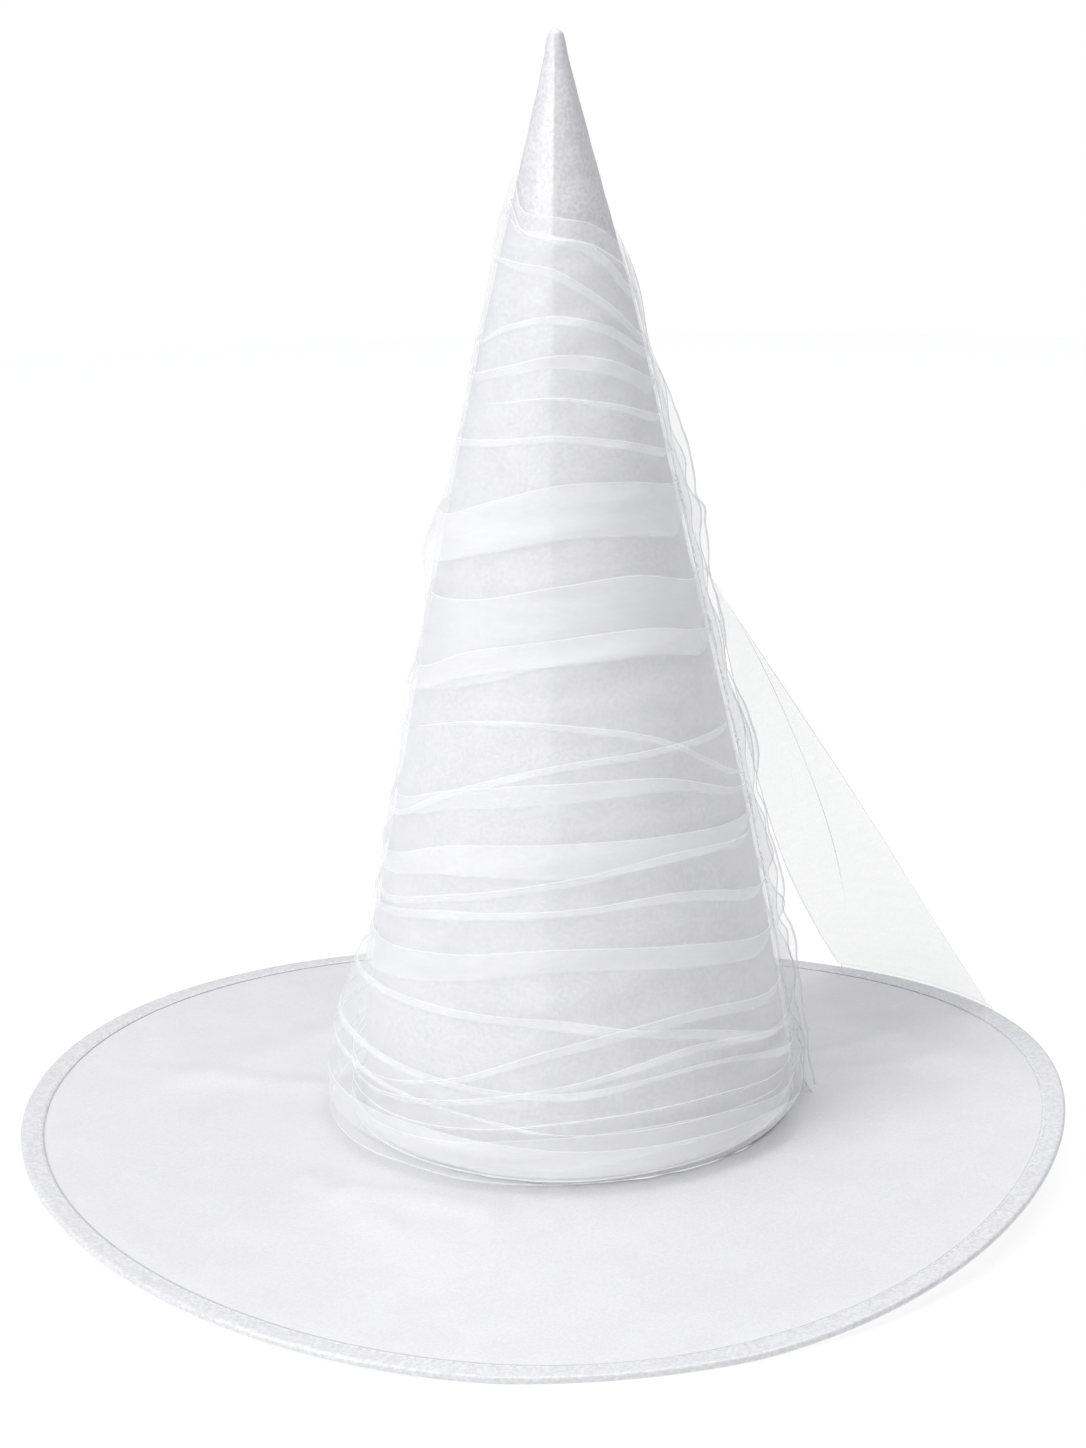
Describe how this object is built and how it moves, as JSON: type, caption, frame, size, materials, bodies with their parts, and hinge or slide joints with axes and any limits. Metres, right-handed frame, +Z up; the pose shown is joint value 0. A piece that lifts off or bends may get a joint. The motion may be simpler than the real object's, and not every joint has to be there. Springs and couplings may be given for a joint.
{
  "type": "witch hat with veil",
  "caption": "Tall pointed cone crown on a wide bound brim, wound with a ruched sheer veil whose loose end falls over the brim.",
  "frame": {"origin": "on the floor, under the middle of the brim's outer edge", "axes": "+Z up through the crown, -Y towards the wearer's front as the picture shows it, +X to the picture's right, where the gathered line and the loose end are"},
  "size_m": [0.44, 0.44, 0.4677],
  "materials": {
    "crown_satin": "white satin, soft sheen",
    "brim_satin": "white satin, soft sheen",
    "binding_satin": "white satin strip, stitched",
    "wound_net": "sheer white net in folds",
    "gathered_net": "sheer white net, gathered",
    "hanging_net": "sheer white net, single layer"
  },
  "bodies": {
    "root": {"crown": "crown_satin", "brim": "brim_satin", "brim_binding": "binding_satin", "veil_wrap": "wound_net", "veil_gather": "gathered_net", "veil_tail": "hanging_net"}
  },
  "joints": []
}
